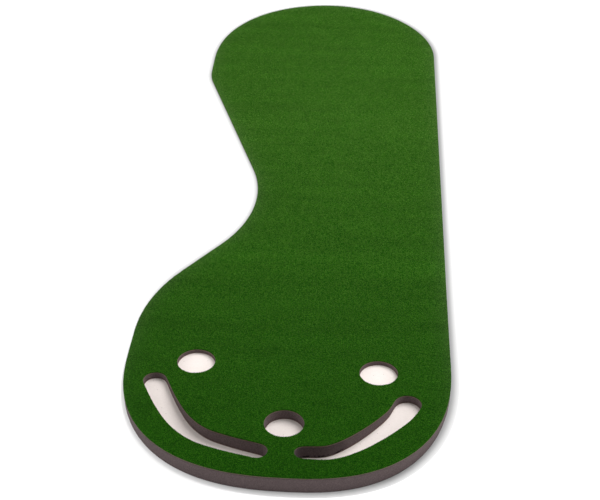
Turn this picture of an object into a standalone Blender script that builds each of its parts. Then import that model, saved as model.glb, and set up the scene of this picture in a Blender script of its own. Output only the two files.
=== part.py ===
"""Practice putting mat, modelled the way it is laminated.

A kidney-shaped strip of needle-punched putting turf lies flat on the floor and climbs a foam
ramp at one end.  Three regulation cups and two curved sand traps are die-cut through the turf,
its backing and the foam, down to one white base sheet, which is the floor of every cut-out.
From the top down the layers are the pile, its backing, a glue film, the foam ramp, a second glue
film and the base sheet.

Frame: +X runs across the mat, +Y along it and away from the cups, +Z up.  The origin is on the
floor, under the middle of the mat.  Every size is in metres.
"""

import math

import bmesh
import bpy
from mathutils import Vector

# ---------------------------------------------------------------- driving dimensions

MAT_WIDTH = 0.9144
MAT_LENGTH = 2.7432

# Layers.
PILE_THICKNESS = 0.0040
BACKING_THICKNESS = 0.0017
GLUE_THICKNESS = 0.0004
LINER_THICKNESS = 0.0010
LAYER_GAP = 0.0003
LINER_INSET = 0.0030

# The two rounded ends, each of two quarters that meet at an apex, which stands to the right of
# the centre line.  A power of 2 is an ellipse, and a higher one is squarer.
CUP_END_APEX = 0.0290
CUP_END_DEPTH = 0.4850
CUP_END_POWER = 2.45
FAR_END_APEX = 0.0375
FAR_END_SET_IN = 0.0410
FAR_END_DEPTH_LEFT, FAR_END_POWER_LEFT = 0.490, 2.11
FAR_END_DEPTH_RIGHT, FAR_END_POWER_RIGHT = 0.430, 1.89

# The waved left side.  Each corner is (in from the left edge, radius that rounds it), and stands
# at its own distance from an end of the mat.
SHOULDER_IN, SHOULDER_RADIUS = 0.0422, 0.250
SHOULDER_FROM_FAR_END = 0.6456
WAIST_IN, WAIST_RADIUS = 0.3522, 0.475
WAIST_FROM_CUP_END = 1.2216
LOBE_IN, LOBE_RADIUS = 0.0, 0.500
LOBE_FROM_CUP_END = 0.7456

# The ramp: the turf eases up from the floor, then climbs straight to the cup end.
RAMP_RISE = 0.0515
RAMP_STRAIGHT = 0.4216
RAMP_EASE = 0.4500
FOAM_TOE_THICKNESS = 0.0010

# Cups, as (in from the side edge, up from the cup end); the middle cup is placed from the
# centre line.
CUP_DIAMETER = 0.1080
LEFT_CUP = (0.1982, 0.4536)
RIGHT_CUP = (0.2022, 0.4336)
MIDDLE_CUP = (0.0070, 0.2056)

# Sand traps.  The outer end is (in from the side edge, up from the cup end) and the inner end
# is (out from the centre line, up from the cup end).
LEFT_TRAP_OUTER, LEFT_TRAP_OUTER_RADIUS = (0.0949, 0.3635), 0.0330
LEFT_TRAP_INNER, LEFT_TRAP_INNER_RADIUS = (0.0550, 0.0955), 0.0280
RIGHT_TRAP_OUTER, RIGHT_TRAP_OUTER_RADIUS = (0.1225, 0.3040), 0.0375
RIGHT_TRAP_INNER, RIGHT_TRAP_INNER_RADIUS = (0.0640, 0.0960), 0.0240
# How each trap bows towards the cup end: (share of the way from the outer end to the inner
# one, share of that distance outwards).
LEFT_TRAP_BOW = ((0.22, 0.094), (0.43, 0.156), (0.62, 0.158), (0.80, 0.096))
RIGHT_TRAP_BOW = ((0.15, 0.070), (0.40, 0.122), (0.65, 0.138), (0.84, 0.106))

# How finely round shapes are faceted.
END_STEPS = 22
CORNER_STEP = math.radians(3.5)
EASE_STEPS = 10
CUP_SEGMENTS = 48
TRAP_SPINE_STEPS = 4
TRAP_END_STEPS = 14

# ---------------------------------------------------------------- worked-out places

LEFT_EDGE = -MAT_WIDTH / 2
RIGHT_EDGE = MAT_WIDTH / 2
CUP_END = -MAT_LENGTH / 2
FAR_END = MAT_LENGTH / 2
EASE_END = CUP_END + RAMP_STRAIGHT
EASE_START = EASE_END + RAMP_EASE
RAMP_SLOPE = RAMP_RISE / (RAMP_STRAIGHT + RAMP_EASE / 2)

# Heights of the layers where the turf lies on the floor, and the ramp's own under layers.
BACKING_TOP = BACKING_THICKNESS
PILE_BOTTOM = BACKING_TOP + LAYER_GAP
PILE_TOP = PILE_BOTTOM + PILE_THICKNESS
TURF_GLUE_TOP = -LAYER_GAP
TURF_GLUE_BOTTOM = TURF_GLUE_TOP - GLUE_THICKNESS
FOAM_TOP = TURF_GLUE_BOTTOM - LAYER_GAP
LINER_GLUE_BOTTOM = LINER_THICKNESS + LAYER_GAP
LINER_GLUE_TOP = LINER_GLUE_BOTTOM + GLUE_THICKNESS
FOAM_BOTTOM = LINER_GLUE_TOP + LAYER_GAP

# The foam's thin toe, where the eased ramp first leaves room for it.
TOE_RISE = FOAM_BOTTOM + FOAM_TOE_THICKNESS - FOAM_TOP
TOE = EASE_START - math.sqrt(2 * TOE_RISE * RAMP_EASE / RAMP_SLOPE)

# Cutters run this far past the layers, from below the floor to above the pile.
CUTTER_MARGIN = 0.020
CUT_LOW = -CUTTER_MARGIN
CUT_HIGH = PILE_TOP + RAMP_RISE + CUTTER_MARGIN

# Lines across the mat where its layers bend.
BEND_LINES = [EASE_START - RAMP_EASE * i / EASE_STEPS for i in range(EASE_STEPS + 1)]


# ---------------------------------------------------------------- plan shapes


def end_quarter(side, apex_x, depth, power, quarter):
    """One quarter of a rounded end, counter-clockwise, without its last point.

    side is where it meets the long edge, and quarter counts from the far right one, which is 0.
    """
    reach = abs(side.x - apex_x)
    points = []
    for step in range(END_STEPS):
        angle = math.pi / 2 * (quarter + step / END_STEPS)
        cosine, sine = math.cos(angle), math.sin(angle)
        x = apex_x + reach * math.copysign(abs(cosine) ** (2 / power), cosine)
        y = side.y + depth * math.copysign(abs(sine) ** (2 / power), sine)
        points.append(Vector((x, y)))
    return points


def rounded_corner(before, corner, after, radius):
    """The arc that rounds one corner of a path."""
    to_before = (before - corner).normalized()
    to_after = (after - corner).normalized()
    half = to_before.angle(to_after) / 2
    centre = corner + (to_before + to_after).normalized() * radius / math.sin(half)
    first = corner + to_before * radius / math.tan(half) - centre
    turn = to_before.angle_signed(-to_after)
    steps = max(2, math.ceil(abs(turn) / CORNER_STEP))
    return [centre + rotated(first, turn * i / steps) for i in range(steps + 1)]


def rotated(vector, angle):
    """A plan vector turned clockwise by an angle, as Vector.angle_signed counts it."""
    cosine, sine = math.cos(angle), math.sin(angle)
    return Vector((vector.x * cosine + vector.y * sine, vector.y * cosine - vector.x * sine))


def mat_outline():
    """The kidney outline, counter-clockwise from the far end of the straight right side."""
    left_top = Vector((LEFT_EDGE + FAR_END_SET_IN, FAR_END - FAR_END_DEPTH_LEFT))
    right_top = Vector((RIGHT_EDGE, FAR_END - FAR_END_DEPTH_RIGHT))
    shoulder = Vector((LEFT_EDGE + SHOULDER_IN, FAR_END - SHOULDER_FROM_FAR_END))
    waist = Vector((LEFT_EDGE + WAIST_IN, CUP_END + WAIST_FROM_CUP_END))
    lobe = Vector((LEFT_EDGE + LOBE_IN, CUP_END + LOBE_FROM_CUP_END))
    left_bottom = Vector((LEFT_EDGE, CUP_END + CUP_END_DEPTH))
    right_bottom = Vector((RIGHT_EDGE, CUP_END + CUP_END_DEPTH))

    outline = end_quarter(right_top, FAR_END_APEX, FAR_END_DEPTH_RIGHT, FAR_END_POWER_RIGHT, 0)
    outline += end_quarter(left_top, FAR_END_APEX, FAR_END_DEPTH_LEFT, FAR_END_POWER_LEFT, 1)
    outline.append(left_top)
    outline += rounded_corner(left_top, shoulder, waist, SHOULDER_RADIUS)
    outline += rounded_corner(shoulder, waist, lobe, WAIST_RADIUS)
    outline += rounded_corner(waist, lobe, left_bottom, LOBE_RADIUS)
    outline += end_quarter(left_bottom, CUP_END_APEX, CUP_END_DEPTH, CUP_END_POWER, 2)
    outline += end_quarter(right_bottom, CUP_END_APEX, CUP_END_DEPTH, CUP_END_POWER, 3)
    outline.append(right_bottom)
    return outline


def inset(outline, distance):
    """A counter-clockwise outline moved inwards by a small distance."""
    points = []
    for i, point in enumerate(outline):
        along = (outline[(i + 1) % len(outline)] - outline[i - 1]).normalized()
        points.append(point + Vector((-along.y, along.x)) * distance)
    return points


def curve_through(points):
    """A smooth curve through points, each stretch cut into TRAP_SPINE_STEPS."""
    guides = [points[0] * 2 - points[1]] + points + [points[-1] * 2 - points[-2]]
    curve = []
    for a, b, c, d in zip(guides, guides[1:], guides[2:], guides[3:]):
        for step in range(TRAP_SPINE_STEPS):
            t = step / TRAP_SPINE_STEPS
            bend = (2 * a - 5 * b + 4 * c - d) * t**2 + (3 * b - a - 3 * c + d) * t**3
            curve.append((2 * b + (c - a) * t + bend) / 2)
    curve.append(points[-1])
    return curve


def trap_outline(outer, outer_radius, inner, inner_radius, bow, outwards):
    """A curved slot between two round ends.  outwards is +1 or -1, the side it bows to."""
    chord = inner - outer
    sideways = Vector((chord.y, -chord.x)) * outwards
    spine = [outer] + [outer + chord * along + sideways * out for along, out in bow] + [inner]
    spine = curve_through(spine)
    last = len(spine) - 1
    one_side, other_side = [], []
    for i, point in enumerate(spine):
        along = (spine[min(i + 1, last)] - spine[max(i - 1, 0)]).normalized()
        normal = Vector((-along.y, along.x))
        radius = outer_radius + (inner_radius - outer_radius) * i / last
        one_side.append(point + normal * radius)
        other_side.append(point - normal * radius)
    inner_cap = round_end(inner, one_side[-1])
    outer_cap = round_end(outer, other_side[0])
    return one_side + inner_cap + other_side[::-1] + outer_cap


def round_end(centre, first):
    """The half turn clockwise about a slot's end from a point, without its two end points."""
    turns = [math.pi * i / TRAP_END_STEPS for i in range(1, TRAP_END_STEPS)]
    return [centre + rotated(first - centre, turn) for turn in turns]


# ---------------------------------------------------------------- heights


def rise(y):
    """How far the ramp lifts the turf at a place along the mat."""
    if y >= EASE_START:
        return 0.0
    if y >= EASE_END:
        return RAMP_SLOPE * (EASE_START - y) ** 2 / (2 * RAMP_EASE)
    return RAMP_SLOPE * (EASE_END - y + RAMP_EASE / 2)


def faceted_rise(y):
    """The rise with straight runs between the bend lines, so that each facet is flat."""
    for upper, lower in zip(BEND_LINES, BEND_LINES[1:]):
        if lower < y < upper:
            share = (upper - y) / (upper - lower)
            return rise(upper) + (rise(lower) - rise(upper)) * share
    return rise(y)


# ---------------------------------------------------------------- solids


def material(name, colour, roughness):
    """A matt material of one plain colour."""
    made = bpy.data.materials.new(name)
    made.use_nodes = True
    shader = made.node_tree.nodes["Principled BSDF"]
    shader.inputs["Base Color"].default_value = (*colour, 1)
    shader.inputs["Roughness"].default_value = roughness
    shader.inputs["Metallic"].default_value = 0
    made.diffuse_color = (*colour, 1)
    return made


def new_object(name, shape):
    """Turns a finished bmesh into an object of that name."""
    bmesh.ops.recalc_face_normals(shape, faces=shape.faces)
    mesh = bpy.data.meshes.new(name)
    shape.to_mesh(mesh)
    shape.free()
    mesh.shade_smooth()
    mesh.set_sharp_from_angle(angle=math.radians(30))
    made = bpy.data.objects.new(name, mesh)
    bpy.context.scene.collection.objects.link(made)
    return made


def extruded(outline, bottom, top, end_line=None):
    """A solid over an outline.

    bottom and top give its height at each place along the mat, and end_line cuts off what
    lies beyond it.
    """
    shape = bmesh.new()
    shape.faces.new([shape.verts.new((point.x, point.y, 0)) for point in outline])
    for line in BEND_LINES:
        everything = shape.verts[:] + shape.edges[:] + shape.faces[:]
        bmesh.ops.bisect_plane(shape, geom=everything, plane_co=(0, line, 0), plane_no=(0, 1, 0))
    if end_line is not None:
        everything = shape.verts[:] + shape.edges[:] + shape.faces[:]
        bmesh.ops.bisect_plane(
            shape, geom=everything, plane_co=(0, end_line, 0), plane_no=(0, 1, 0), clear_outer=True
        )
    raised = bmesh.ops.extrude_face_region(shape, geom=shape.faces[:])["geom"]
    raised = {element for element in raised if isinstance(element, bmesh.types.BMVert)}
    for vertex in shape.verts:
        height = top if vertex in raised else bottom
        vertex.co.z = height(vertex.co.y)
    return shape


def level(height):
    """A surface that is flat all over."""
    return lambda y: height


def on_ramp(height):
    """A surface that follows the turf up the ramp, from its height on the flat."""
    return lambda y: height + faceted_rise(y)


def cutter(name, shape):
    """An object that only cuts others."""
    made = new_object(name, shape)
    made.hide_render = True
    made.display_type = "WIRE"
    return made


def cup_cutter(name, x, y):
    """A round cut-out, straight down through the ramp."""
    shape = bmesh.new()
    bmesh.ops.create_cone(
        shape,
        cap_ends=True,
        segments=CUP_SEGMENTS,
        radius1=CUP_DIAMETER / 2,
        radius2=CUP_DIAMETER / 2,
        depth=CUT_HIGH - CUT_LOW,
    )
    made = cutter(name, shape)
    made.location = (x, y, (CUT_LOW + CUT_HIGH) / 2)
    return made


def trap_cutter(name, outline):
    """A slot-shaped cut-out, straight down through the ramp."""
    shape = bmesh.new()
    shape.faces.new([shape.verts.new((point.x, point.y, CUT_LOW)) for point in outline])
    raised = bmesh.ops.extrude_face_region(shape, geom=shape.faces[:])["geom"]
    for element in raised:
        if isinstance(element, bmesh.types.BMVert):
            element.co.z = CUT_HIGH
    return cutter(name, shape)


def all_cutters():
    """The three cups and the two sand traps."""
    left_trap = trap_outline(
        Vector((LEFT_EDGE + LEFT_TRAP_OUTER[0], CUP_END + LEFT_TRAP_OUTER[1])),
        LEFT_TRAP_OUTER_RADIUS,
        Vector((-LEFT_TRAP_INNER[0], CUP_END + LEFT_TRAP_INNER[1])),
        LEFT_TRAP_INNER_RADIUS,
        LEFT_TRAP_BOW,
        1,
    )
    right_trap = trap_outline(
        Vector((RIGHT_EDGE - RIGHT_TRAP_OUTER[0], CUP_END + RIGHT_TRAP_OUTER[1])),
        RIGHT_TRAP_OUTER_RADIUS,
        Vector((RIGHT_TRAP_INNER[0], CUP_END + RIGHT_TRAP_INNER[1])),
        RIGHT_TRAP_INNER_RADIUS,
        RIGHT_TRAP_BOW,
        -1,
    )
    return [
        cup_cutter("cut_left_cup", LEFT_EDGE + LEFT_CUP[0], CUP_END + LEFT_CUP[1]),
        cup_cutter("cut_right_cup", RIGHT_EDGE - RIGHT_CUP[0], CUP_END + RIGHT_CUP[1]),
        cup_cutter("cut_middle_cup", MIDDLE_CUP[0], CUP_END + MIDDLE_CUP[1]),
        trap_cutter("cut_left_trap", left_trap),
        trap_cutter("cut_right_trap", right_trap),
    ]


def layer(name, shape, finish, parent, cutters=()):
    """One named layer of the mat, with its cut-outs."""
    made = new_object(name, shape)
    made.data.materials.append(finish)
    made.parent = parent
    for tool in cutters:
        cut = made.modifiers.new(tool.name, "BOOLEAN")
        cut.operation = "DIFFERENCE"
        cut.solver = "EXACT"
        cut.object = tool
    return made


# ---------------------------------------------------------------- the mat


def build():
    """Clears the scene and makes the six layers."""
    for old in list(bpy.data.objects):
        bpy.data.objects.remove(old, do_unlink=True)

    mat = bpy.data.objects.new("putting_mat", None)
    bpy.context.scene.collection.objects.link(mat)
    outline = mat_outline()
    liner_outline = inset(outline, LINER_INSET)
    cutters = all_cutters()
    glue = material("clear_contact_glue", (0.50, 0.36, 0.20), 0.45)

    layer(
        "turf_pile",
        extruded(outline, on_ramp(PILE_BOTTOM), on_ramp(PILE_TOP)),
        material("green_polyester_pile", (0.022, 0.085, 0.008), 0.95),
        mat,
        cutters,
    )
    layer(
        "turf_backing",
        extruded(outline, on_ramp(0.0), on_ramp(BACKING_TOP)),
        material("tan_latex_backing", (0.36, 0.30, 0.20), 0.85),
        mat,
        cutters,
    )
    layer(
        "turf_glue_film",
        extruded(liner_outline, on_ramp(TURF_GLUE_BOTTOM), on_ramp(TURF_GLUE_TOP), TOE),
        glue,
        mat,
        cutters,
    )
    layer(
        "foam_ramp",
        extruded(outline, level(FOAM_BOTTOM), on_ramp(FOAM_TOP), TOE),
        material("grey_brown_foam", (0.115, 0.085, 0.082), 0.95),
        mat,
        cutters,
    )
    layer(
        "liner_glue_film",
        extruded(liner_outline, level(LINER_GLUE_BOTTOM), level(LINER_GLUE_TOP), TOE),
        glue,
        mat,
        cutters,
    )
    layer(
        "base_liner",
        extruded(liner_outline, level(0.0), level(LINER_THICKNESS), TOE),
        material("white_polyester_felt", (0.86, 0.83, 0.81), 0.90),
        mat,
    )


build()
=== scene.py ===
"""The finished look of the practice putting mat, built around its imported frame.

The turf becomes a felted ground with a pile of separate fibres, the foam ramp gets cut walls with
softened edges, and the white base sheet, the glue and the backing get their own finishes.
Units are metres, and the frame's axes hold: +X across the mat, +Y away from the cups, +Z up.
"""

import math

import bmesh
import bpy
import numpy as np
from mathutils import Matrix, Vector, kdtree, noise
from mathutils.geometry import delaunay_2d_cdt


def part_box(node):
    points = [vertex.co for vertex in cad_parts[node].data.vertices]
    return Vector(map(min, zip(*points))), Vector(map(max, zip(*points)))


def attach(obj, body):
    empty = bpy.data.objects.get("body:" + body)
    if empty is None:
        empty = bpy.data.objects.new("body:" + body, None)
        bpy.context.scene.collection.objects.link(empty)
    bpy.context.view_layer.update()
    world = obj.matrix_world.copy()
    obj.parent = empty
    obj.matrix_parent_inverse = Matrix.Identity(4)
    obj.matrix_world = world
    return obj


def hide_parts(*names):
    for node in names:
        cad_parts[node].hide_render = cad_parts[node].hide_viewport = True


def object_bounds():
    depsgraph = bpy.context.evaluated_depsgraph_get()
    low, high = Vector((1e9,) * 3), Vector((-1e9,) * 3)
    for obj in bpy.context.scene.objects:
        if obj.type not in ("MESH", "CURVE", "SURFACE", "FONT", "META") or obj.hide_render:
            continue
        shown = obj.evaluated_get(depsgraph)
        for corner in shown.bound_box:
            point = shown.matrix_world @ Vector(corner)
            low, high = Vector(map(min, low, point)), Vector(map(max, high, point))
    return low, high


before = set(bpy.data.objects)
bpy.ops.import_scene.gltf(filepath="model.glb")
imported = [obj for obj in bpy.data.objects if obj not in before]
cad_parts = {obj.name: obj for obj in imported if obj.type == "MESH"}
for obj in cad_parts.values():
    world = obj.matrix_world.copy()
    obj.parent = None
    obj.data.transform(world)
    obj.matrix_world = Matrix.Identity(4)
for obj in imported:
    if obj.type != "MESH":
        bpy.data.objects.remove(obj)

cad_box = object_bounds()

# ---------------------------------------------------------------- sizes

MM = 0.001
ROOT = "root"
WHITE = (1.0, 1.0, 1.0, 1.0)

# Corners of the frame's meshes that are this near are one corner, and a face belongs to a layer's
# upper or lower side when this much of its normal points up or down.
SAME_CORNER = 0.01 * MM
LEVEL_SHARE = 0.5

# Outlines are read from the frame, evened out to this spacing and eased over this length, which
# takes the facets out of their arcs.  The fibres at a rim are cut along the fine spacing.
RIM_SPACING = 3 * MM
FINE_RIM_SPACING = 1 * MM
RIM_EASE = 5 * MM

# The corners inside a rim stand in loose rows: the step from row to row, how loosely they stand,
# and how far they keep from the rim, each as a share of the spacing in a row.
ROW_STEP = 0.87
ROW_LOOSENESS = 0.2
RIM_CLEARANCE = 0.55
# The spacing on faces that are even or don't show.
COARSE_GRID = 32 * MM
# Plan points that are this near are one point in a face's triangles.
SAME_POINT = 1e-7

# The baking map fills the square but for this share at each side.
MAP_MARGIN = 0.01
# Raw noise keeps within about 0.6 of nothing, and this spreads it to 1.
NOISE_TO_FULL = 1.6

# The ground of the turf stands this far below the top of its layer, and its corners are close
# enough together to hold the felt's unevenness.
PILE_STANDS = 1.8 * MM
GROUND_GRID = 9 * MM
# A place along the mat where the turf lies flat on the floor.
FLAT_PLACE = 0.5

# Slow waves that stay in a mat that has been rolled up, longer across it than along it, and the
# finer unevenness of felt.
WAVE_HEIGHT = 0.9 * MM
WAVE_LENGTH = 260 * MM
WAVE_STRETCH = (0.35, 1.0)
WAVE_SEED = 3
FELT_HEIGHT = 0.25 * MM
FELT_LENGTH = 14 * MM
FELT_SEED = 8

# Fibres: how many to a square metre, the size of one, how far it may lean, and the steepest
# ground that it stands on, as the upward share of the normal.
FIBRES_PER_M2 = 400_000
FIBRE_LENGTH = 3.6 * MM
FIBRE_WIDTH = 0.7 * MM
FIBRE_LEAN = math.radians(52)
STEEPEST_GROUND = 0.15
# Each fibre is scaled across, through and along by its own shares between these.
FIBRE_LEAST = (0.75, 0.8, 0.55)
FIBRE_MOST = (1.25, 1.2, 1.0)
FIBRE_SIZE_SEED = 7
# A fibre is one narrow leaf, of these triangles.
BLADE_FACES = ((0, 2, 1), (1, 2, 3))
# A fibre may stand this far out past the cut edge.
STRAY = 0.15 * MM
# The pile is divided into pieces of up to about this many triangles.
MOST_TRIANGLES = 185_000

# The turf's darkest and lightest flecks, and how bright the ground is drawn next to the pile, a
# painted shade from the fibres over it.
TURF_DARK = "#186000"
TURF_LIGHT = "#4a8d29"
GROUND_PAINTED_SHADE = 0.35
# How bright a fibre is drawn at its root and at its tip, a painted shade deep in the pile and painted
# light at the tips, and the range of each fibre's own brightness.
ROOT_PAINTED_SHADE = 0.25
TIP_PAINTED_LIGHT = 1.35
DULLEST_FIBRE = 0.72
BRIGHTEST_FIBRE = 1.28
FIBRE_SHADE_SEED = 11
# Painted light tints the flecks, darker and greener at the cups and lighter and paler at the tee,
# between these places along the mat.  The product is drawn this many times as bright, which drifts
# between the two numbers in slow patches and bands.
PAINTED_LIGHT_AT_CUPS = "#8e9a65"
PAINTED_LIGHT_AT_TEE = "#ebc4e3"
PAINTED_LIGHT_FROM = -1.4
PAINTED_LIGHT_TO = 0.4
NAP_LEAST = 1.95
NAP_MOST = 2.29
# A painted highlight where the mat bends up onto the foam: where that is, how far from there it
# reaches, and how many times as bright it draws the pile.
BEND_PLACE = -0.42
BEND_REACH = 0.1
PAINTED_BEND_HIGHLIGHT = 1.12
# Handling leaves the pile paler along the mat's flanks: the dust's colour, how much of it lies at
# the very rim, how fast it thins out inwards, and where it starts behind the cup end.
RIM_DUST = "#ccd5a8"
RIM_DUST_SHARE = 0.07
RIM_DUST_WIDTH = 20 * MM
RIM_DUST_START = 150 * MM
RIM_DUST_FADE = 500 * MM

# Foam, as it leaves the die.  A wall is made of this many rows, and is where at least this much of
# the normal lies level.
FOAM_WALL_ROWS = 14
WALL_STEEPNESS = 0.7
# Its walls wander by this much, in slow waves that are longer up the wall than along it, and in a
# share of finer ones.  They lie inwards on the whole, by another share.
CUT_WAVE = 0.35 * MM
CUT_WAVE_LENGTH = 30 * MM
CUT_WAVE_UPRIGHT = 0.3
CUT_INWARDS = 0.35
CUT_FINE_SHARE = 0.25
CUT_FINE_LENGTH = 4 * MM
# How bright the outer wall of the foam is drawn next to the walls of the cut-outs, a painted shade
# that leaves the cut-outs' walls lighter, and how far in from the outline that ends.
OUTER_WALL_PAINTED_SHADE = 0.8
OUTER_WALL_DEPTH = 20 * MM

# Painted shade darkens the walls at the narrow end of one trap, which also has glue blots at their
# foot: where that end is, how far the shade and blots reach, the share of that from which they thin
# out, and how much of the dark lies between the blots, which is painted shade.
GLUE_AND_SHADE_DARK = "#1e1616"
SHADED_TRAP_END = (0.095, -1.24, 0.01)
SHADED_TRAP_END_REACH = 95 * MM
TRAP_END_SHADE_THINS_FROM = 0.7
PAINTED_SHADE_BETWEEN_BLOTS = 0.34
# Blots are whole below the first height and end at the second.
BLOTS_WHOLE_BELOW = 8 * MM
BLOTS_END_AT = 11 * MM

# The base sheet rises in slow waves where it spans the cut-outs, and rises most from this far in
# from their walls.
SHEET_GRID = 6 * MM
SHEET_WAVE = 0.35 * MM
SHEET_WAVE_LENGTH = 60 * MM
SHEET_WAVE_SEED = 5
SHEET_FREE_FROM = 12 * MM

# The line of glue that is squeezed out at the foot of each wall.  Its radius is a share of the
# full one, which swells and thins but never falls below the least.
BEAD_RADIUS = 0.65 * MM
BEAD_SIDES = 6
BEAD_USUAL = 0.75
BEAD_SWELL = 0.45
BEAD_LEAST = 0.25
BEAD_SWELL_LENGTH = 14 * MM

# Camera and lights.
CAMERA_PLACE = (0.189, -3.454, 2.363)
CAMERA_PITCH = math.radians(52.678)
CAMERA_TURN = math.radians(3.50)
CAMERA_LENS = 73.53
CAMERA_SENSOR = 36
WORLD_LIGHT = 0.5
# Each light's name, place, size and power, and the spot at which they all point.
SOFTBOXES = (
    ("softbox_above", (1.9, 0.8, 4.6), 3.4, 262),
    ("softbox_left", (-3.1, -0.9, 1.4), 1.6, 42),
    ("softbox_right", (3.3, -1.0, 1.4), 1.6, 48),
)
LIGHTS_AIM = (0, -0.4, 0)

# The white floor reaches this far, lies just under the mat, and glows a little so that it stays
# white.
FLOOR_REACH = 60.0
FLOOR_LEVEL = -0.3 * MM
PAPER_WHITE = 0.9
FLOOR_GLOW = 0.45
# The shade where the mat meets the floor: how far out from the mat, and the share of light there.
CONTACT_SHADE = (
    (-6 * MM, 0.24),
    (0 * MM, 0.25),
    (2 * MM, 0.27),
    (6 * MM, 0.33),
    (10 * MM, 0.41),
    (14 * MM, 0.47),
    (18 * MM, 0.52),
    (21 * MM, 0.58),
    (25 * MM, 1.0),
)
# The shade as a whole lies this far to the right and back.
CONTACT_SHIFT = (4 * MM, 2 * MM)
# The ramp's walls that face away from the key light shade the floor themselves, so the drawn
# shade is weaker and narrower there, by these shares.  The direction runs from the mat to the key
# in plan.  The easing is full up to the first place along the mat and small from the second.
CONTACT_EASE = 0.5
CONTACT_NARROWING = 0.45
TOWARDS_KEY = np.array((0.85, 0.55))
EASE_PLACES = (-0.8, -0.5)
EASE_SHARES = (1.0, 0.12)


# ---------------------------------------------------------------- reading the frame


def merged(node):
    """A CAD node's mesh with its loose triangles joined."""
    shape = bmesh.new()
    shape.from_mesh(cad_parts[node].data)
    bmesh.ops.remove_doubles(shape, verts=shape.verts, dist=SAME_CORNER)
    return shape


def upper_loops(node):
    """The closed loops round a layer's upper face, in plan, the outline first.

    Each starts at its corner nearest the cup end, so that every run makes the same loops.
    """
    shape = merged(node)
    upper = {face for face in shape.faces if face.normal.z > LEVEL_SHARE}
    following = {}
    for face in upper:
        for corner in face.loops:
            if sum(other in upper for other in corner.edge.link_faces) == 1:
                following[corner.vert] = corner.link_loop_next.vert
    loops = []
    while following:
        first = min(following, key=lambda corner: (round(corner.co.y, 5), corner.co.x))
        vertex = following.pop(first)
        points = [first.co.xy.copy()]
        while vertex is not first:
            points.append(vertex.co.xy.copy())
            vertex = following.pop(vertex)
        loops.append(np.array(points))
    shape.free()
    return sorted(loops, key=lambda points: -round(np.ptp(points[:, 0]), 4))


def height_along(node, upper=True):
    """How high a layer's upper or lower face stands at each place along the mat."""
    shape = merged(node)
    places = {}
    for face in shape.faces:
        if face.normal.z * (1 if upper else -1) > LEVEL_SHARE:
            for vertex in face.verts:
                places[round(vertex.co.y, 5)] = vertex.co.z
    shape.free()
    along = np.array(sorted(places))
    heights = np.array([places[y] for y in along])
    return lambda y: np.interp(y, along, heights)


def even_loop(points, spacing=RIM_SPACING, ease=RIM_EASE):
    """A closed loop with evenly spaced points and the facets of its arcs eased away."""
    closed = np.vstack([points, points[:1]])
    along = np.r_[0, np.cumsum(np.hypot(*np.diff(closed, axis=0).T))]
    count = max(24, round(along[-1] / spacing))
    at = np.linspace(0, along[-1], count, endpoint=False)
    plan = np.interp(at, along, closed[:, 0]) + 1j * np.interp(at, along, closed[:, 1])
    turns = np.fft.fftfreq(count, along[-1] / count) * 2 * math.pi
    plan = np.fft.ifft(np.fft.fft(plan) * np.exp(-((turns * ease) ** 2) / 2))
    return np.c_[plan.real, plan.imag]


def inwards(loop):
    """At each point of a loop, the plan direction into the material."""
    along = np.roll(loop, -1, axis=0) - np.roll(loop, 1, axis=0)
    along /= np.hypot(*along.T)[:, None]
    return np.c_[-along[:, 1], along[:, 0]]


def inside(points, loops):
    """Which points lie in the material that the loops bound."""
    found = np.zeros(len(points), bool)
    for loop in loops:
        following = np.roll(loop, -1, axis=0)
        for (x0, y0), (x1, y1) in zip(loop, following):
            if y0 != y1:
                spans = (points[:, 1] < y0) != (points[:, 1] < y1)
                crossing = x0 + (points[spans, 1] - y0) / (y1 - y0) * (x1 - x0)
                found[spans] ^= points[spans, 0] < crossing
    return found


def nearest_on(rim):
    """A search tree that finds the point of a rim nearest to a place in plan."""
    tree = kdtree.KDTree(len(rim))
    for i, (x, y) in enumerate(rim):
        tree.insert((x, y, 0), i)
    tree.balance()
    return tree


def distance_from(rim, plan):
    """How far each plan point lies from the nearest point of a rim."""
    tree = nearest_on(rim)
    return np.array([tree.find((x, y, 0))[2] for x, y in plan])


# ---------------------------------------------------------------- shells


def grid_points(loops, spacing, seed):
    """Points of a loosely even grid inside the loops, clear of their rims."""
    low, high = loops[0].min(0), loops[0].max(0)
    rows = np.arange(low[1], high[1], spacing * ROW_STEP)
    columns = np.arange(low[0], high[0], spacing)
    x, y = np.meshgrid(columns, rows)
    x[1::2] += spacing / 2
    points = np.c_[x.ravel(), y.ravel()]
    moves = np.random.default_rng(seed).uniform(-ROW_LOOSENESS, ROW_LOOSENESS, points.shape)
    points += moves * spacing
    points = points[inside(points, loops)]
    return points[distance_from(np.vstack(loops), points) > spacing * RIM_CLEARANCE]


def filled(loops, spacing, seed):
    """Triangles over the area inside the loops.  The loops' own points come first."""
    rims = np.vstack(loops)
    points = np.vstack([rims, grid_points(loops, spacing, seed)])
    edges, start = [], 0
    for loop in loops:
        count = len(loop)
        edges += [(start + i, start + (i + 1) % count) for i in range(count)]
        start += count
    result = delaunay_2d_cdt([Vector(p) for p in points], edges, [], 0, SAME_POINT)
    triangles = np.array(result[2])
    middles = points[triangles].mean(axis=1)
    triangles = triangles[inside(middles, loops)]
    return points, triangles


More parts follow.
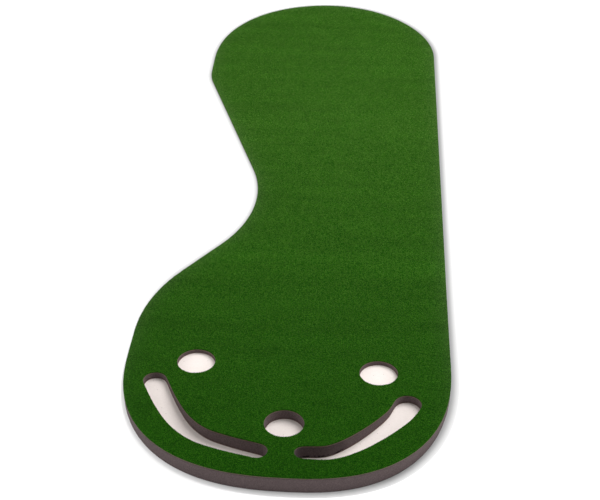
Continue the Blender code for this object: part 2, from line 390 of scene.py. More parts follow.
def shell(name, loops, rows, over, under, over_grid, under_grid):
    """A closed layer with a shaped rim.

    rows run round each rim from its upper face to its lower one.  Each is (how far in from the
    rim, from 1 at the upper face to 0 at the lower, a further lift).  over and under give the
    two faces' heights at plan points.
    """
    corners, faces = [], []
    row_starts = []
    total = sum(len(loop) for loop in loops)
    for inset, share, lift in rows:
        row_starts.append(len(corners) * total)
        plan = np.vstack([loop + inwards(loop) * inset for loop in loops])
        level = over(plan) * share + under(plan) * (1 - share) + lift
        corners.append(np.c_[plan, level])
    start = 0
    for loop in loops:
        count = len(loop)
        for upper, lower in zip(row_starts, row_starts[1:]):
            for i in range(count):
                a, b = start + i, start + (i + 1) % count
                faces.append((upper + b, upper + a, lower + a, lower + b))
        start += count
    placed = len(rows) * total
    # Each side's row, spacing, heights, which way round its triangles go, and seed.
    sides = ((0, over_grid, over, 1, 2), (-1, under_grid, under, -1, 1))
    for row, grid, level, turned, seed in sides:
        inner = [loop + inwards(loop) * rows[row][0] for loop in loops]
        points, triangles = filled(inner, grid, seed)
        extra = points[total:]
        corners.append(np.c_[extra, level(extra) + rows[row][2]])
        index = np.r_[row_starts[row] + np.arange(total), placed + np.arange(len(extra))]
        placed += len(extra)
        faces += [tuple(int(index[i]) for i in t[::turned]) for t in triangles]
    return new_piece(name, np.vstack(corners), faces)


def new_piece(name, corners, faces):
    """A smooth-shaded mesh object at the origin."""
    mesh = bpy.data.meshes.new(name)
    mesh.from_pydata([tuple(corner) for corner in corners], [], faces)
    mesh.validate()
    mesh.shade_smooth()
    piece = bpy.data.objects.new(name, mesh)
    bpy.context.scene.collection.objects.link(piece)
    return piece


def corners_of(piece):
    """The places of a piece's corners."""
    corners = np.empty(len(piece.data.vertices) * 3)
    piece.data.vertices.foreach_get("co", corners)
    return corners.reshape(-1, 3)


def mark(piece, name, values):
    """Stores a number at each corner of a piece, for its material to read."""
    piece.data.attributes.new(name, "FLOAT", "POINT").data.foreach_set("value", values)


def plan_map(piece):
    """Lays the piece's baking map flat, as seen from above, and fills the square with it."""
    low, high = np.array(cad_box)[:, :2]
    plan = (corners_of(piece)[:, :2] - low) / (high - low)
    plan = plan * (1 - 2 * MAP_MARGIN) + MAP_MARGIN
    of_loop = np.empty(len(piece.data.loops), np.int32)
    piece.data.loops.foreach_get("vertex_index", of_loop)
    piece.data.uv_layers.new(name="OFBake").data.foreach_set("uv", plan[of_loop].ravel())


def drift(plan, length, seed):
    """Smooth noise between about -1 and 1 at plan points, with lumps of about that length."""
    raw = np.array([noise.noise((x / length, y / length, seed)) for x, y in plan])
    return raw * NOISE_TO_FULL


# ---------------------------------------------------------------- materials


def colour(code):
    """An sRGB hex colour as linear numbers with full alpha."""
    parts = [int(code[i : i + 2], 16) / 255 for i in (1, 3, 5)]
    linear = [c / 12.92 if c <= 0.04045 else ((c + 0.055) / 1.055) ** 2.4 for c in parts]
    return (*linear, 1.0)


def add(tree, kind, sockets=(), **settings):
    """Adds a node with its settings.  A socket's value is a number, a colour or a link."""
    node = tree.nodes.new(kind)
    for name, value in settings.items():
        setattr(node, name, value)
    for name, value in dict(sockets).items():
        socket = node.inputs[name]
        if isinstance(value, bpy.types.NodeSocket):
            tree.links.new(value, socket)
        else:
            socket.default_value = value
    return node


def new_material(name, **uniform):
    """A material, its tree and its Principled shader, with the sockets that are the same all over."""
    made = bpy.data.materials.new(name)
    made.use_nodes = True
    shader = made.node_tree.nodes["Principled BSDF"]
    for socket, value in uniform.items():
        shader.inputs[socket.replace("_", " ")].default_value = value
    return made, made.node_tree, shader


def turf_flecks(tree, place):
    """Fine flecks of lighter and darker fibre, about 3.5 and 7 mm long.  Both are coarser than the
    real fibres, so that they show."""
    fine = add(
        tree,
        "ShaderNodeTexNoise",
        {"Vector": place, "Scale": 1 / (3.5 * MM), "Detail": 2.0, "Roughness": 0.7},
    )
    coarse = add(
        tree,
        "ShaderNodeTexNoise",
        {"Vector": place, "Scale": 1 / (7 * MM), "Detail": 1.0},
    )
    both = add(
        tree,
        "ShaderNodeMix",
        {0: 0.18, 2: fine.outputs[0], 3: coarse.outputs[0]},
    )
    share = add(
        tree,
        "ShaderNodeMapRange",
        {"Value": both.outputs[0], "From Min": 0.4, "From Max": 0.6},
    )
    flecks = add(
        tree,
        "ShaderNodeMix",
        {0: share.outputs[0], 6: colour(TURF_DARK), 7: colour(TURF_LIGHT)},
        data_type="RGBA",
    )
    return flecks.outputs[2]


def nap_light(tree, place, along):
    """How bright the nap is drawn: slow patches of about 55 mm, bands across the mat that are
    about 60 mm wide, and a painted highlight at the bend."""
    patches = add(
        tree,
        "ShaderNodeTexNoise",
        {"Vector": place, "Scale": 1 / (55 * MM), "Detail": 2.0},
    )
    stretched = add(tree, "ShaderNodeMapping", {"Vector": place, "Scale": (0.12, 1.0, 1.0)})
    bands = add(
        tree,
        "ShaderNodeTexNoise",
        {"Vector": stretched.outputs["Vector"], "Scale": 1 / (60 * MM), "Detail": 3.0},
    )
    slow = add(
        tree,
        "ShaderNodeMath",
        {0: patches.outputs[0], 1: 0.5, 2: bands.outputs[0]},
        operation="MULTIPLY_ADD",
    )
    slow_share = add(
        tree,
        "ShaderNodeMapRange",
        {
            "Value": slow.outputs[0],
            "From Min": 0.55,
            "From Max": 0.95,
            "To Min": NAP_LEAST,
            "To Max": NAP_MOST,
        },
    )
    # Painted highlight: where the mat bends up onto the foam, the pile is drawn brighter.
    from_bend = add(tree, "ShaderNodeMath", {0: along, 1: BEND_PLACE}, operation="SUBTRACT")
    away = add(tree, "ShaderNodeMath", {0: from_bend.outputs[0]}, operation="ABSOLUTE")
    bend_highlight = add(
        tree,
        "ShaderNodeMapRange",
        {"Value": away.outputs[0], "From Max": BEND_REACH, "To Min": PAINTED_BEND_HIGHLIGHT, "To Max": 1.0},
        interpolation_type="SMOOTHSTEP",
    )
    light = add(
        tree,
        "ShaderNodeMath",
        {0: slow_share.outputs[0], 1: bend_highlight.outputs[0]},
        operation="MULTIPLY",
    )
    return light.outputs[0]


def turf_colour(tree):
    """The green of the turf: flecked, drawn darker towards the cups and lighter and paler towards the
    tee as painted light, in faint bands, and dusty at the rim."""
    place = add(tree, "ShaderNodeTexCoord").outputs["Object"]
    along = add(tree, "ShaderNodeSeparateXYZ", {"Vector": place}).outputs["Y"]
    # Painted light: the turf is drawn darker towards the cups and lighter and paler towards the tee.
    lie = add(
        tree,
        "ShaderNodeMapRange",
        {"Value": along, "From Min": PAINTED_LIGHT_FROM, "From Max": PAINTED_LIGHT_TO},
    )
    painted_light_tint = add(
        tree,
        "ShaderNodeMix",
        {0: lie.outputs[0], 6: colour(PAINTED_LIGHT_AT_CUPS), 7: colour(PAINTED_LIGHT_AT_TEE)},
        data_type="RGBA",
    )
    tinted = add(
        tree,
        "ShaderNodeVectorMath",
        {0: turf_flecks(tree, place), 1: painted_light_tint.outputs[2]},
        operation="MULTIPLY",
    )
    toned = add(
        tree,
        "ShaderNodeVectorMath",
        {0: tinted.outputs[0], "Scale": nap_light(tree, place, along)},
        operation="SCALE",
    )
    worn = add(tree, "ShaderNodeAttribute", attribute_name="worn_rim").outputs["Fac"]
    dust = add(tree, "ShaderNodeMath", {0: worn, 1: RIM_DUST_SHARE}, operation="MULTIPLY")
    dusty = add(
        tree,
        "ShaderNodeMix",
        {0: dust.outputs[0], 6: toned.outputs[0], 7: colour(RIM_DUST)},
        data_type="RGBA",
    )
    return dusty.outputs[2]


def fibre_material():
    """Dyed polyester staple fibre: matt, with a soft sheen, and painted shade that draws it darker at
    the root than at the tip.
    """
    made, tree, shader = new_material(
        "dyed_polyester_fibre",
        Roughness=0.9,
        Specular_IOR_Level=0.06,
        Sheen_Weight=0.03,
        Sheen_Roughness=0.5,
        Sheen_Tint=colour("#c8e070"),
    )
    along = add(tree, "ShaderNodeAttribute", attribute_name="tip").outputs["Fac"]
    own = add(tree, "ShaderNodeAttribute", attribute_name="fibre_shade").outputs["Fac"]
    # Painted shade: a fibre is drawn darker towards its root, where the pile shades it, and brighter
    # at its tip.
    shade = add(
        tree,
        "ShaderNodeMapRange",
        {"Value": along, "To Min": ROOT_PAINTED_SHADE, "To Max": TIP_PAINTED_LIGHT},
    )
    both = add(
        tree,
        "ShaderNodeMath",
        {0: shade.outputs[0], 1: own},
        operation="MULTIPLY",
    )
    toned = add(
        tree,
        "ShaderNodeVectorMath",
        {0: turf_colour(tree), "Scale": both.outputs[0]},
        operation="SCALE",
    )
    tree.links.new(toned.outputs[0], shader.inputs["Base Color"])
    return made


def ground_material():
    """Needle-punched felt, the ground that the pile stands in: drawn a deeper green as painted shade
    under the pile, and closely pitted.
    """
    made, tree, shader = new_material("needle_punched_felt", Roughness=0.95, Specular_IOR_Level=0.05)
    # Painted shade: the ground is drawn darker, as if shaded by the fibres over it.
    shaded_ground = add(
        tree,
        "ShaderNodeVectorMath",
        {0: turf_colour(tree), "Scale": GROUND_PAINTED_SHADE},
        operation="SCALE",
    )
    place = add(tree, "ShaderNodeTexCoord").outputs["Object"]
    # The needles' pits are about 1.2 mm apart.
    pits = add(
        tree,
        "ShaderNodeTexNoise",
        {"Vector": place, "Scale": 1 / (1.2 * MM), "Detail": 3.0},
    )
    bump = add(
        tree,
        "ShaderNodeBump",
        {"Height": pits.outputs[0], "Strength": 0.8, "Distance": 0.5 * MM},
    )
    tree.links.new(shaded_ground.outputs[0], shader.inputs["Base Color"])
    tree.links.new(bump.outputs[0], shader.inputs["Normal"])
    return made


def glue_blots_and_painted_shade(tree, place, inner):
    """How much the foam is darkened: a thin painted shade on the walls of a cut-out near the trap's
    narrow end, and glue blots at their foot."""
    height = add(tree, "ShaderNodeSeparateXYZ", {"Vector": place})
    low_down = add(
        tree,
        "ShaderNodeMapRange",
        {
            "Value": height.outputs["Z"],
            "From Min": BLOTS_WHOLE_BELOW,
            "From Max": BLOTS_END_AT,
            "To Min": 1.0,
            "To Max": 0.0,
        },
    )
    # Blots are about 10 mm across, and sharp at their edges.
    blots = add(
        tree,
        "ShaderNodeTexNoise",
        {"Vector": place, "Scale": 1 / (10 * MM), "Detail": 1.0},
    )
    blot = add(
        tree,
        "ShaderNodeMapRange",
        {"Value": blots.outputs[0], "From Min": 0.52, "From Max": 0.56},
    )
    run_down = add(
        tree,
        "ShaderNodeMath",
        {0: low_down.outputs[0], 1: blot.outputs[0]},
        operation="MULTIPLY",
    )
    blots_over_shade = add(
        tree,
        "ShaderNodeMapRange",
        {"Value": run_down.outputs[0], "To Min": PAINTED_SHADE_BETWEEN_BLOTS, "To Max": 1.0},
    )
    # Painted shade: the walls near the trap's narrow end are drawn darker.
    from_trap_end = add(
        tree,
        "ShaderNodeVectorMath",
        {0: place, 1: SHADED_TRAP_END},
        operation="DISTANCE",
    )
    near_trap_end = add(
        tree,
        "ShaderNodeMapRange",
        {
            "Value": from_trap_end.outputs["Value"],
            "From Min": TRAP_END_SHADE_THINS_FROM * SHADED_TRAP_END_REACH,
            "From Max": SHADED_TRAP_END_REACH,
            "To Min": 1.0,
            "To Max": 0.0,
        },
        interpolation_type="SMOOTHSTEP",
    )
    blots_and_shade = inner
    for share in (blots_over_shade, near_trap_end):
        blots_and_shade = add(
            tree,
            "ShaderNodeMath",
            {0: blots_and_shade, 1: share.outputs[0]},
            operation="MULTIPLY",
        ).outputs[0]
    return blots_and_shade


def foam_material():
    """Closed-cell polyethylene foam, cut with a blade: matt grey-brown, pricked with open cells,
    with a painted shade on its outer wall, painted shade over the narrow end of one trap, and glue
    blots at the foot of that trap's walls."""
    made, tree, shader = new_material("cut_polyethylene_foam", Roughness=0.9, Specular_IOR_Level=0.2)
    place = add(tree, "ShaderNodeTexCoord").outputs["Object"]
    # Cells are about 0.8 mm across, and are drawn at 2 mm so that they show.
    cells = add(
        tree,
        "ShaderNodeTexVoronoi",
        {"Vector": place, "Scale": 1 / (2 * MM)},
        feature="SMOOTH_F1",
    )
    clouds = add(
        tree,
        "ShaderNodeTexNoise",
        {"Vector": place, "Scale": 1 / (4 * MM), "Detail": 4.0, "Roughness": 0.7},
    )
    cell_share = add(
        tree,
        "ShaderNodeMapRange",
        {"Value": cells.outputs["Distance"], "From Min": 0.1, "From Max": 0.6},
    )
    cell_tone = add(
        tree,
        "ShaderNodeMix",
        {0: cell_share.outputs[0], 6: colour("#4a3f40"), 7: colour("#625555")},
        data_type="RGBA",
    )
    cloud_share = add(
        tree,
        "ShaderNodeMapRange",
        {
            "Value": clouds.outputs[0],
            "From Min": 0.3,
            "From Max": 0.7,
            "To Min": 0.82,
            "To Max": 1.18,
        },
    )
    toned = add(
        tree,
        "ShaderNodeVectorMath",
        {0: cell_tone.outputs[2], "Scale": cloud_share.outputs[0]},
        operation="SCALE",
    )
    inner = add(tree, "ShaderNodeAttribute", attribute_name="cut_out").outputs["Fac"]
    # Painted shade: the outer wall is drawn darker than the walls of the cut-outs.
    outer_wall_shade = add(
        tree,
        "ShaderNodeMapRange",
        {"Value": inner, "To Min": OUTER_WALL_PAINTED_SHADE, "To Max": 1.0},
    )
    walls = add(
        tree,
        "ShaderNodeVectorMath",
        {0: toned.outputs[0], "Scale": outer_wall_shade.outputs[0]},
        operation="SCALE",
    )
    foam_with_blots_and_shade = add(
        tree,
        "ShaderNodeMix",
        {0: glue_blots_and_painted_shade(tree, place, inner), 6: walls.outputs[0], 7: colour(GLUE_AND_SHADE_DARK)},
        data_type="RGBA",
    )
    bump = add(
        tree,
        "ShaderNodeBump",
        {"Height": cells.outputs["Distance"], "Strength": 0.5, "Distance": 0.5 * MM},
    )
    tree.links.new(foam_with_blots_and_shade.outputs[2], shader.inputs["Base Color"])
    tree.links.new(bump.outputs[0], shader.inputs["Normal"])
    return made


def sheet_material():
    """White polyester needle felt: a warm white with a faint fibrous cloud and a few dark flecks."""
    made, tree, shader = new_material("white_needle_felt", Roughness=0.95, Specular_IOR_Level=0.2)
    place = add(tree, "ShaderNodeTexCoord").outputs["Object"]
    clouds = add(
        tree,
        "ShaderNodeTexNoise",
        {"Vector": place, "Scale": 1 / (6 * MM), "Detail": 5.0, "Roughness": 0.7},
    )
    # Flecks lie about 44 mm apart and are about 1 mm across.
    specks = add(
        tree,
        "ShaderNodeTexVoronoi",
        {"Vector": place, "Scale": 1 / (44 * MM)},
        voronoi_dimensions="2D",
    )
    tone = add(
        tree,
        "ShaderNodeMix",
        {0: clouds.outputs[0], 6: colour("#dad0cb"), 7: colour("#eae1dc")},
        data_type="RGBA",
    )
    speck_share = add(
        tree,
        "ShaderNodeMapRange",
        {"Value": specks.outputs["Distance"], "From Min": 0.012, "From Max": 0.026},
    )
    speckled = add(
        tree,
        "ShaderNodeMix",
        {0: speck_share.outputs[0], 6: colour("#8f8078"), 7: tone.outputs[2]},
        data_type="RGBA",
    )
    bump = add(
        tree,
        "ShaderNodeBump",
        {"Height": clouds.outputs[0], "Strength": 0.35, "Distance": 0.6 * MM},
    )
    tree.links.new(speckled.outputs[2], shader.inputs["Base Color"])
    tree.links.new(bump.outputs[0], shader.inputs["Normal"])
    return made


def backing_material():
    """Foamed latex that backs the turf: grey tan, matt, with a waffle of small bubbles."""
    made, tree, shader = new_material("foamed_latex_backing", Roughness=0.85, Specular_IOR_Level=0.3)
    place = add(tree, "ShaderNodeTexCoord").outputs["Object"]
    bubbles = add(
        tree,
        "ShaderNodeTexVoronoi",
        {"Vector": place, "Scale": 1 / (2.4 * MM)},
        feature="SMOOTH_F1",
    )
    tone = add(
        tree,
        "ShaderNodeMix",
        {0: bubbles.outputs["Distance"], 6: colour("#766a58"), 7: colour("#564d40")},
        data_type="RGBA",
    )
    bump = add(
        tree,
        "ShaderNodeBump",
        {"Height": bubbles.outputs["Distance"], "Strength": 0.6, "Distance": 0.6 * MM},
    )
    tree.links.new(tone.outputs[2], shader.inputs["Base Color"])
    tree.links.new(bump.outputs[0], shader.inputs["Normal"])
    return made


def glue_material():
    """Dried contact adhesive: reddish brown, half glossy, unevenly spread."""
    made, tree, shader = new_material("dried_contact_adhesive", Specular_IOR_Level=0.45)
    place = add(tree, "ShaderNodeTexCoord").outputs["Object"]
    smears = add(
        tree,
        "ShaderNodeTexNoise",
        {"Vector": place, "Scale": 1 / (9 * MM), "Detail": 3.0},
    )
    tone = add(
        tree,
        "ShaderNodeMix",
        {0: smears.outputs[0], 6: colour("#4a2f28"), 7: colour("#8d6a52")},
        data_type="RGBA",
    )
    rough = add(
        tree,
        "ShaderNodeMapRange",
        {"Value": smears.outputs[0], "To Min": 0.35, "To Max": 0.65},
    )
    tree.links.new(tone.outputs[2], shader.inputs["Base Color"])
    tree.links.new(rough.outputs[0], shader.inputs["Roughness"])
    return made


def floor_material():
    """Matt white paper, drawn darker where the mat shades it."""
    made, tree, shader = new_material("white_paper_floor", Roughness=0.9, Emission_Color=WHITE)
    light = add(tree, "ShaderNodeAttribute", attribute_name="lit").outputs["Fac"]
    white = add(
        tree,
        "ShaderNodeVectorMath",
        {0: (PAPER_WHITE, PAPER_WHITE, PAPER_WHITE), "Scale": light},
        operation="SCALE",
    )
    glow = add(tree, "ShaderNodeMath", {0: light, 1: FLOOR_GLOW}, operation="MULTIPLY")
    tree.links.new(white.outputs[0], shader.inputs["Base Color"])
    tree.links.new(glow.outputs[0], shader.inputs["Emission Strength"])
    return made


# ---------------------------------------------------------------- pieces of the mat


def rim_wear(plan, outline):
    """How worn the pile is at plan points: most at the outline, less further in, and not at all
    at the cup end."""
    depth = distance_from(outline, plan)
    past_front = plan[:, 1] - cad_box[0][1] - RIM_DUST_START
    return np.exp(-depth / RIM_DUST_WIDTH) * np.clip(past_front / RIM_DUST_FADE, 0, 1)


def frame_gap():
    """The gap that the frame leaves between the turf's backing and its pile."""
    return max(0.0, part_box("turf_pile")[0].z - height_along("turf_backing")(FLAT_PLACE))


def make_ground(loops, top, finish):
    """The felted ground of the turf, with its cut edges rolled over by the die."""
    low_face = height_along("turf_backing")
    clearance = frame_gap()

    def over(plan):
        waves = drift(plan * WAVE_STRETCH, WAVE_LENGTH, WAVE_SEED) * WAVE_HEIGHT
        felt = drift(plan, FELT_LENGTH, FELT_SEED) * FELT_HEIGHT
        return top(plan[:, 1]) - PILE_STANDS + np.clip(waves, 0, None) + felt

    def under(plan):
        return low_face(plan[:, 1]) + clearance

    rows = [
        (9.0 * MM, 1.0, 0.0),
        (3.0 * MM, 1.0, -0.02 * MM),
        (1.0 * MM, 1.0, -0.10 * MM),
        (0.3 * MM, 1.0, -0.30 * MM),
        (0.0 * MM, 0.7, -0.20 * MM),
        (0.0 * MM, 0.3, 0.0),
        (0.2 * MM, 0.0, 0.0),
        (3.0 * MM, 0.0, 0.0),
    ]
    piece = shell("turf_ground", loops, rows, over, under, GROUND_GRID, COARSE_GRID)
    piece.data.materials.append(finish)
    mark(piece, "worn_rim", rim_wear(corners_of(piece)[:, :2], loops[0]))
    plan_map(piece)
    return piece


def make_backing(finish):
    """The turf's latex backing, a layer of even thickness with a slightly rounded rim."""
    loops = [even_loop(points) for points in upper_loops("turf_backing")]
    top = height_along("turf_backing")
    low_face = height_along("turf_backing", upper=False)

    def over(plan):
        return top(plan[:, 1])

    def under(plan):
        return low_face(plan[:, 1])

    rows = [(2.0 * MM, 1.0, 0.0), (0.2 * MM, 1.0, -0.05 * MM), (0.0, 0.7, 0.0)]
    rows += [(0.0, 0.3, 0.0), (0.2 * MM, 0.0, 0.05 * MM), (2.0 * MM, 0.0, 0.0)]
    piece = shell("latex_backing", loops, rows, over, under, COARSE_GRID, COARSE_GRID)
    piece.data.materials.append(finish)
    plan_map(piece)
    return piece


def fibre_blade():
    """One fibre: a narrow leaf from root to tip, folded over at its middle."""
    half = FIBRE_WIDTH / 2
    corners = [
        (0, 0, -0.2 * FIBRE_LENGTH),
        (-half, 0.06 * FIBRE_LENGTH, 0.45 * FIBRE_LENGTH),
        (half, 0.06 * FIBRE_LENGTH, 0.45 * FIBRE_LENGTH),
        (0, 0.38 * FIBRE_LENGTH, 0.80 * FIBRE_LENGTH),
    ]
    piece = new_piece("fibre_blade", corners, BLADE_FACES)
    mark(piece, "tip", [0.0, 0.6, 0.6, 1.0])
    return piece


def fibre_tree():
    """Geometry nodes that stand fibres at random all over a ground, each with its own lean, turn,
    size and shade."""
    tree = bpy.data.node_groups.new("stand_fibres", "GeometryNodeTree")
    asked = (
        ("Ground", "NodeSocketGeometry"),
        ("Fibre", "NodeSocketObject"),
        ("Fibres per square metre", "NodeSocketFloat"),
        ("Lean", "NodeSocketVector"),
        ("Seed", "NodeSocketInt"),
        ("Finish", "NodeSocketMaterial"),
    )
    for name, kind in asked:
        tree.interface.new_socket(name, in_out="INPUT", socket_type=kind)
    tree.interface.new_socket("Fibres", in_out="OUTPUT", socket_type="NodeSocketGeometry")
    given = add(tree, "NodeGroupInput").outputs
    scattered = add(
        tree,
        "GeometryNodeDistributePointsOnFaces",
        {
            "Mesh": given["Ground"],
            "Density": given["Fibres per square metre"],
            "Seed": given["Seed"],
        },
    )
    leaning = add(
        tree,
        "ShaderNodeVectorMath",
        {0: given["Lean"], "Scale": -1.0},
        operation="SCALE",
    )
    turn = add(
        tree,
        "FunctionNodeRandomValue",
        {0: leaning.outputs[0], 1: given["Lean"], "Seed": given["Seed"]},
        data_type="FLOAT_VECTOR",
    )
    turned = add(
        tree,
        "FunctionNodeRotateRotation",
        {"Rotation": scattered.outputs["Rotation"], "Rotate By": turn.outputs[0]},
        rotation_space="LOCAL",
    )
    size = add(
        tree,
        "FunctionNodeRandomValue",
        {0: FIBRE_LEAST, 1: FIBRE_MOST, "Seed": FIBRE_SIZE_SEED},
        data_type="FLOAT_VECTOR",
    )
    blade = add(tree, "GeometryNodeObjectInfo", {"Object": given["Fibre"], "As Instance": True})
    standing = add(
        tree,
        "GeometryNodeInstanceOnPoints",
        {
            "Points": scattered.outputs["Points"],
            "Instance": blade.outputs["Geometry"],
            "Rotation": turned.outputs[0],
            "Scale": size.outputs[0],
        },
    )
    shade = add(
        tree,
        "FunctionNodeRandomValue",
        {2: DULLEST_FIBRE, 3: BRIGHTEST_FIBRE, "Seed": FIBRE_SHADE_SEED},
        data_type="FLOAT",
    )
    shaded = add(
        tree,
        "GeometryNodeStoreNamedAttribute",
        {"Geometry": standing.outputs[0], "Name": "fibre_shade", "Value": shade.outputs[1]},
        data_type="FLOAT",
        domain="INSTANCE",
    )
    real = add(tree, "GeometryNodeRealizeInstances", {"Geometry": shaded.outputs[0]})
    finished = add(
        tree,
        "GeometryNodeSetMaterial",
        {"Geometry": real.outputs[0], "Material": given["Finish"]},
    )
    add(tree, "NodeGroupOutput", {"Fibres": finished.outputs[0]})
    return tree


def carrier_strip(number, strip, corners, wear):
    """A strip of the ground, by its faces' corner numbers, for one piece's fibres to stand on."""
    used, faces = np.unique(np.concatenate([list(f) for f in strip]), return_inverse=True)
    ends = np.cumsum([len(f) for f in strip])[:-1]
    faces = [tuple(int(i) for i in f) for f in np.split(faces, ends)]
    carrier = new_piece(f"carrier_{number}", corners[used], faces)
    mark(carrier, "worn_rim", wear[used])
    return carrier


def make_fibres(ground, finish):
    """The pile, in strips across the mat so that no strip has too many triangles."""
    corners = corners_of(ground)
    wear = np.empty(len(corners))
    ground.data.attributes["worn_rim"].data.foreach_get("value", wear)
    up = [face for face in ground.data.polygons if face.normal.z > STEEPEST_GROUND]
    up.sort(key=lambda face: face.center.y)
    area = sum(face.area for face in up)
    strips = math.ceil(area * FIBRES_PER_M2 * len(BLADE_FACES) / MOST_TRIANGLES)
    tree = fibre_tree()
    blade = fibre_blade()
    sockets = {item.name: item.identifier for item in tree.interface.items_tree}
    pieces, done, strip = [], 0.0, []
    for face in up:
        strip.append(tuple(face.vertices))
        done += face.area
        number = len(pieces) + 1
        if done >= area * number / strips - 1e-9 or face is up[-1]:
            carrier = carrier_strip(number, strip, corners, wear)
            grow = carrier.modifiers.new("fibres", "NODES")
            grow.node_group = tree
            grow[sockets["Fibre"]] = blade
            grow[sockets["Fibres per square metre"]] = float(FIBRES_PER_M2)
            grow[sockets["Lean"]] = (FIBRE_LEAN, FIBRE_LEAN, math.pi)
            grow[sockets["Seed"]] = number
            grow[sockets["Finish"]] = finish
            pieces.append(plain(f"pile_fibres_{number}", carrier))
            strip = []
    bpy.data.objects.remove(blade)
    return pieces


def cut_flush(pieces, loops):
    """Takes fibres that stand out past the turf's rim back to it, as the die leaves them."""
    fine = [even_loop(loop, FINE_RIM_SPACING, 0) for loop in loops]
    rims = np.vstack(fine)
    into = np.vstack([inwards(loop) for loop in fine])
    tree = nearest_on(rims)
    cell = 2 * FIBRE_LENGTH

    def cells(plan):
        across, along = np.floor(plan / cell).astype(np.int64).T
        return across * 100_000 + along

    # Only the corners in a rim's own cells and the cells next to them can stand past it.
    steps = (-cell, 0, cell)
    near = np.unique(np.concatenate([cells(rims + (dx, dy)) for dx in steps for dy in steps]))
    for piece in pieces:
        corners = corners_of(piece)
        for k in np.flatnonzero(np.isin(cells(corners[:, :2]), near)):
            x, y, _ = corners[k]
            i = tree.find((x, y, 0))[1]
            depth = (x - rims[i, 0]) * into[i, 0] + (y - rims[i, 1]) * into[i, 1]
            if depth < -STRAY:
                corners[k, :2] += into[i] * (-STRAY - depth)
        piece.data.vertices.foreach_set("co", corners.ravel())


def plain(name, carrier):
    """The evaluated result of an object's modifiers as a mesh object of its own."""
    graph = bpy.context.evaluated_depsgraph_get()
    mesh = bpy.data.meshes.new_from_object(carrier.evaluated_get(graph))
    mesh.name = name
    made = bpy.data.objects.new(name, mesh)
    bpy.context.scene.collection.objects.link(made)
    bpy.data.objects.remove(carrier)
    return made


def make_foam(finish):
    """The foam ramp, with die-cut walls that wander a little and edges that are not quite sharp."""
    loops = [even_loop(points) for points in upper_loops("foam_ramp")]
    top = height_along("foam_ramp")
    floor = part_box("foam_ramp")[0].z

    def over(plan):
        return top(plan[:, 1])

    def under(plan):
        return np.full(len(plan), floor)

    rows = [(3.0 * MM, 1.0, 0.0), (0.7 * MM, 1.0, -0.1 * MM), (0.2 * MM, 1.0, -0.5 * MM)]
    for i in range(1, FOAM_WALL_ROWS):
        rows.append((0.0, 1 - i / FOAM_WALL_ROWS, 0.0))
    rows += [(0.2 * MM, 0.0, 0.4 * MM), (0.6 * MM, 0.0, 0.0), (3.0 * MM, 0.0, 0.0)]
    piece = shell("foam_wedge", loops, rows, over, under, COARSE_GRID, COARSE_GRID)
    wander(piece)
    depth = distance_from(loops[0], corners_of(piece)[:, :2])
    mark(piece, "cut_out", np.minimum(1, depth / OUTER_WALL_DEPTH))
    piece.data.materials.append(finish)
    return piece


def wander(piece):
    """Moves the cut walls in and out by a fraction of a millimetre."""
    for vertex, normal in zip(piece.data.vertices, piece.data.vertex_normals):
        across = Vector((normal.vector.x, normal.vector.y, 0))
        if across.length > WALL_STEEPNESS:
            place = vertex.co / CUT_WAVE_LENGTH
            slow = noise.noise(Vector((place.x, place.y, place.z * CUT_WAVE_UPRIGHT)))
            fine = noise.noise(vertex.co / CUT_FINE_LENGTH)
            move = slow - CUT_INWARDS + CUT_FINE_SHARE * fine
            vertex.co += across.normalized() * move * CUT_WAVE


def make_sheet(finish, cut_outs):
    """The white base sheet.  It lies flat under the foam and rides up a little in the cut-outs."""
    loops = [even_loop(points) for points in upper_loops("base_liner")]
    low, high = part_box("base_liner")

    def over(plan):
        open_here = np.zeros(len(plan))
        for loop in cut_outs:
            within = inside(plan, [loop])
            reach = np.sqrt(((plan[within][:, None] - loop[None]) ** 2).sum(2)).min(1)
            open_here[within] = np.clip(reach / SHEET_FREE_FROM, 0, 1)
        waves = 0.5 + 0.5 * drift(plan, SHEET_WAVE_LENGTH, SHEET_WAVE_SEED)
        return high.z + open_here * waves * SHEET_WAVE

    def under(plan):
        return np.full(len(plan), low.z)

    rows = [(2.0 * MM, 1.0, 0.0), (0.3 * MM, 1.0, -0.1 * MM), (0.0, 0.5, 0.0), (0.3 * MM, 0.0, 0.0)]
    piece = shell("base_sheet", loops, rows, over, under, SHEET_GRID, COARSE_GRID)
    piece.data.materials.append(finish)
    plan_map(piece)
    return piece


def make_bead(cut_outs, finish):
    """Glue squeezed out along the foot of every wall."""
    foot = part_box("liner_glue_film")[0].z
    corners, faces = [], []
    for number, loop in enumerate(cut_outs):
        loop = loop[::2]
        into_gap = -inwards(loop)
        start, count = len(corners), len(loop)
        for (x, y), (out_x, out_y) in zip(loop, into_gap):
            place = (x / BEAD_SWELL_LENGTH, y / BEAD_SWELL_LENGTH, number)
            swell = BEAD_USUAL + BEAD_SWELL * noise.noise(place)
            radius = BEAD_RADIUS * max(BEAD_LEAST, swell)
            for side in range(BEAD_SIDES):
                angle = 2 * math.pi * side / BEAD_SIDES
                out = math.cos(angle) * radius
                corners.append((x + out_x * out, y + out_y * out, foot + math.sin(angle) * radius))
        for i in range(count):
            for side in range(BEAD_SIDES):
                a = start + i * BEAD_SIDES
                b = start + (i + 1) % count * BEAD_SIDES
                after = (side + 1) % BEAD_SIDES
                faces.append((a + side, b + side, b + after, a + after))
    piece = new_piece("glue_bead", corners, faces)
    shape = bmesh.new()
    shape.from_mesh(piece.data)
    bmesh.ops.recalc_face_normals(shape, faces=shape.faces)
    shape.to_mesh(piece.data)
    shape.free()
    piece.data.materials.append(finish)
    return piece


# ---------------------------------------------------------------- stage


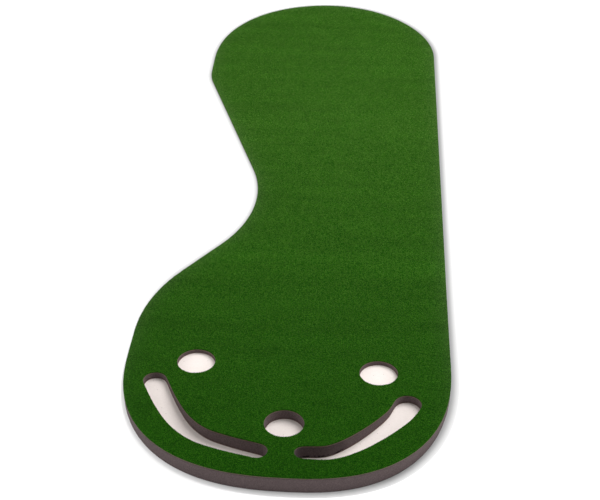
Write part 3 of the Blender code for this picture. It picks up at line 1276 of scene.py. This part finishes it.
def make_floor():
    """A plain white floor, with a soft shade drawn on it where the mat meets it."""
    outline = even_loop(upper_loops("turf_backing")[0])
    corners = [FLOOR_REACH * np.array([(-1, -1), (1, -1), (1, 1), (-1, 1)])]
    lights = [np.ones(4)]
    facing = np.clip(inwards(outline) @ TOWARDS_KEY, 0, 1)
    eased = facing * np.interp(outline[:, 1], EASE_PLACES, EASE_SHARES)
    strength = 1 - CONTACT_EASE * eased
    outwards = -inwards(outline) * (1 - CONTACT_NARROWING * eased)[:, None]
    for reach, light in CONTACT_SHADE:
        corners.append(outline + outwards * reach + CONTACT_SHIFT)
        lights.append(1 - (1 - light) * strength)
    plan = np.vstack(corners)
    triangles = delaunay_2d_cdt([Vector(p) for p in plan], [], [], 0, SAME_POINT)[2]
    floor = new_piece("floor", np.c_[plan, np.full(len(plan), FLOOR_LEVEL)], triangles)
    mark(floor, "lit", np.concatenate(lights))
    floor.data.materials.append(floor_material())


def make_stage():
    """The floor, soft light from above and behind to the right, and the camera."""
    make_floor()

    world = bpy.data.worlds.new("studio")
    bpy.context.scene.world = world
    world.use_nodes = True
    around = world.node_tree.nodes["Background"]
    around.inputs["Color"].default_value = WHITE
    around.inputs["Strength"].default_value = WORLD_LIGHT

    for name, place, size, power in SOFTBOXES:
        lamp = bpy.data.lights.new(name, "AREA")
        lamp.energy = power
        lamp.size = size
        softbox = bpy.data.objects.new(name, lamp)
        softbox.location = place
        aim = Vector(LIGHTS_AIM) - softbox.location
        softbox.rotation_euler = aim.to_track_quat("-Z", "Y").to_euler()
        bpy.context.scene.collection.objects.link(softbox)

    camera = bpy.data.cameras.new("camera")
    camera.lens = CAMERA_LENS
    camera.sensor_width = CAMERA_SENSOR
    view = bpy.data.objects.new("camera", camera)
    view.location = CAMERA_PLACE
    view.rotation_euler = (CAMERA_PITCH, 0, CAMERA_TURN)
    bpy.context.scene.collection.objects.link(view)
    bpy.context.scene.camera = view
    bpy.context.scene.view_settings.view_transform = "Standard"


# ---------------------------------------------------------------- assembly


def main():
    """Builds the stage and the mat, hangs each piece from the root body, hides the frame parts that
    the pieces replace, and gives the glue films the glue finish.
    """
    make_stage()
    glue = glue_material()

    turf_loops = [even_loop(points) for points in upper_loops("turf_pile")]
    cut_outs = turf_loops[1:]
    ground = make_ground(turf_loops, height_along("turf_pile"), ground_material())
    fibres = make_fibres(ground, fibre_material())
    cut_flush(fibres, turf_loops)
    foam = make_foam(foam_material())
    sheet = make_sheet(sheet_material(), cut_outs)
    backing = make_backing(backing_material())
    bead = make_bead(cut_outs, glue)

    for piece in (ground, *fibres):
        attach(piece, ROOT)
    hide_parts("turf_pile")
    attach(backing, ROOT)
    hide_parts("turf_backing")
    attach(foam, ROOT)
    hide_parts("foam_ramp")
    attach(sheet, ROOT)
    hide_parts("base_liner")
    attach(bead, ROOT)

    for node in ("turf_glue_film", "liner_glue_film"):
        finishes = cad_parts[node].data.materials
        finishes.clear()
        finishes.append(glue)


main()
